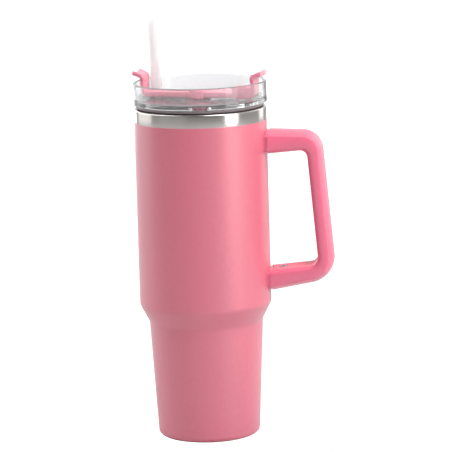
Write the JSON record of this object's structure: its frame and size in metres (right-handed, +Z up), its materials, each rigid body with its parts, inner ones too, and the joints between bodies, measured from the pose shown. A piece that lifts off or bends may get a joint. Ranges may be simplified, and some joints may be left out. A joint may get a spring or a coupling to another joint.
{
  "type": "insulated tumbler with lid",
  "caption": "Double-wall steel tumbler with a side handle, clear press-in lid, rotary closure with finger wings and a drinking straw.",
  "frame": {"origin": "centre of the base, on the surface it stands on", "axes": "+Z up along the body's axis, +X towards the handle"},
  "size_m": [0.1504, 0.1014, 0.3179],
  "materials": {
    "powder_coat": "satin powder coat",
    "rim_steel": "polished, faint turning lines",
    "liner_steel": "electropolished",
    "foil": "bright foil",
    "base_steel": "stamped",
    "solder": "dull",
    "cap_steel": "radial brushed",
    "getter": "sintered",
    "bracket_steel": "milled",
    "handle_paint": "satin, painted to match the body",
    "handle_liner": "soft-touch",
    "screw_steel": "plain",
    "lid_clear": "clear, polished",
    "seal_rubber": "silicone",
    "closure_plastic": "semi-gloss moulded",
    "pad_silicone": "silicone",
    "washer_silicone": "silicone",
    "retainer_plastic": "moulded",
    "straw_clear": "clear, slightly frosted"
  },
  "bodies": {
    "vessel": {"outer_shell": "powder_coat", "rim_band": "rim_steel", "inner_liner": "liner_steel", "foil_wrap": "foil", "base_plate": "base_steel", "vacuum_seal": "solder", "base_cap": "cap_steel", "getter": "getter", "upper_bracket": "bracket_steel", "lower_bracket": "bracket_steel", "handle_frame": "handle_paint", "arm_pads": "handle_paint", "handle_cover": "handle_liner", "handle_screws": "screw_steel"},
    "lid": {"lid_body": "lid_clear", "lid_seal": "seal_rubber"},
    "closure": {"closure": "closure_plastic", "spout_pad": "pad_silicone", "hub_washer": "washer_silicone", "hub_retainer": "retainer_plastic"},
    "straw": {"straw": "straw_clear", "straw_stop": "straw_clear"}
  },
  "joints": [
    {"name": "lid_lift", "type": "slide", "parent": "vessel", "child": "lid", "axis": [0, 0, 1], "range_m": [0, 0.26]},
    {"name": "closure_turn", "type": "hinge", "parent": "lid", "child": "closure", "pos_m": [0, 0, 0.2575], "axis": [0, 0, 1], "range_deg": [0, 138]},
    {"name": "straw_slide", "type": "slide", "parent": "lid", "child": "straw", "axis": [-0.0422, 0.0167, 0.999], "range_m": [0, 0.19]}
  ]
}
